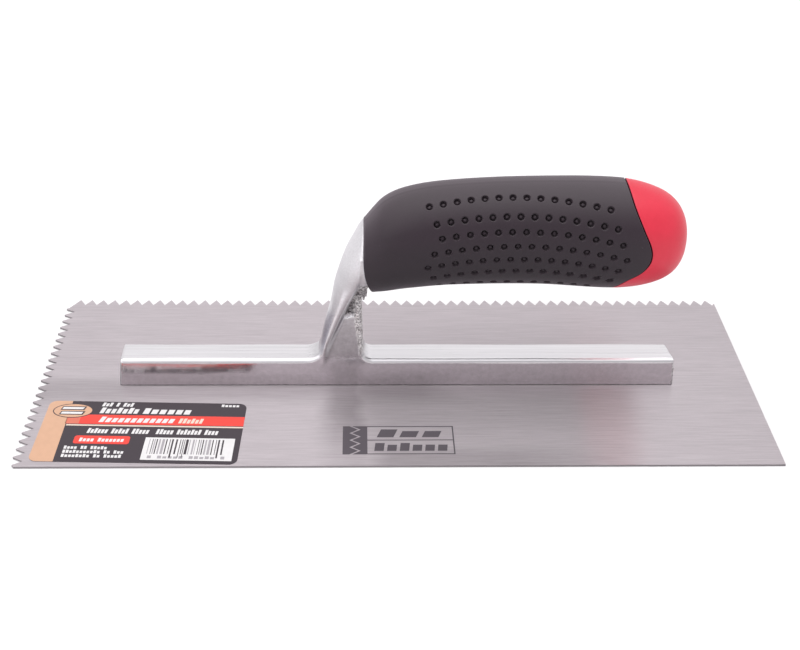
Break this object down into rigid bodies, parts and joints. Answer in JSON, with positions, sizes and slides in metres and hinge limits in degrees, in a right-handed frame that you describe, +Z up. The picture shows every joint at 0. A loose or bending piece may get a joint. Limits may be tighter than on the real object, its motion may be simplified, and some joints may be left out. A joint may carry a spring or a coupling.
{
  "type": "notched trowel",
  "caption": "Notched trowel: flat steel blade with V notches on one long and one short edge, riveted under a cast bar, with a swept neck and a soft two-colour handle.",
  "frame": {"origin": "centre of the blade's underside, which is the bottom centre of the whole tool's box", "axes": "+X along the blade towards the handle's butt, +Y towards the notched long edge, +Z up through the handle"},
  "size_m": [0.2794, 0.1142, 0.0868],
  "materials": {
    "blade": "brushed along its length",
    "casting": "cast, polished on top",
    "rivets": "ground flush",
    "handle_core": "satin",
    "grip": "matt",
    "label": "printed film"
  },
  "bodies": {
    "root": {"blade": "blade", "mounting": "casting", "rivet_1": "rivets", "rivet_2": "rivets", "rivet_3": "rivets", "rivet_4": "rivets", "rivet_5": "rivets", "rivet_6": "rivets", "rivet_7": "rivets", "rivet_8": "rivets", "handle_core": "handle_core", "grip": "grip", "label": "label"}
  },
  "joints": []
}
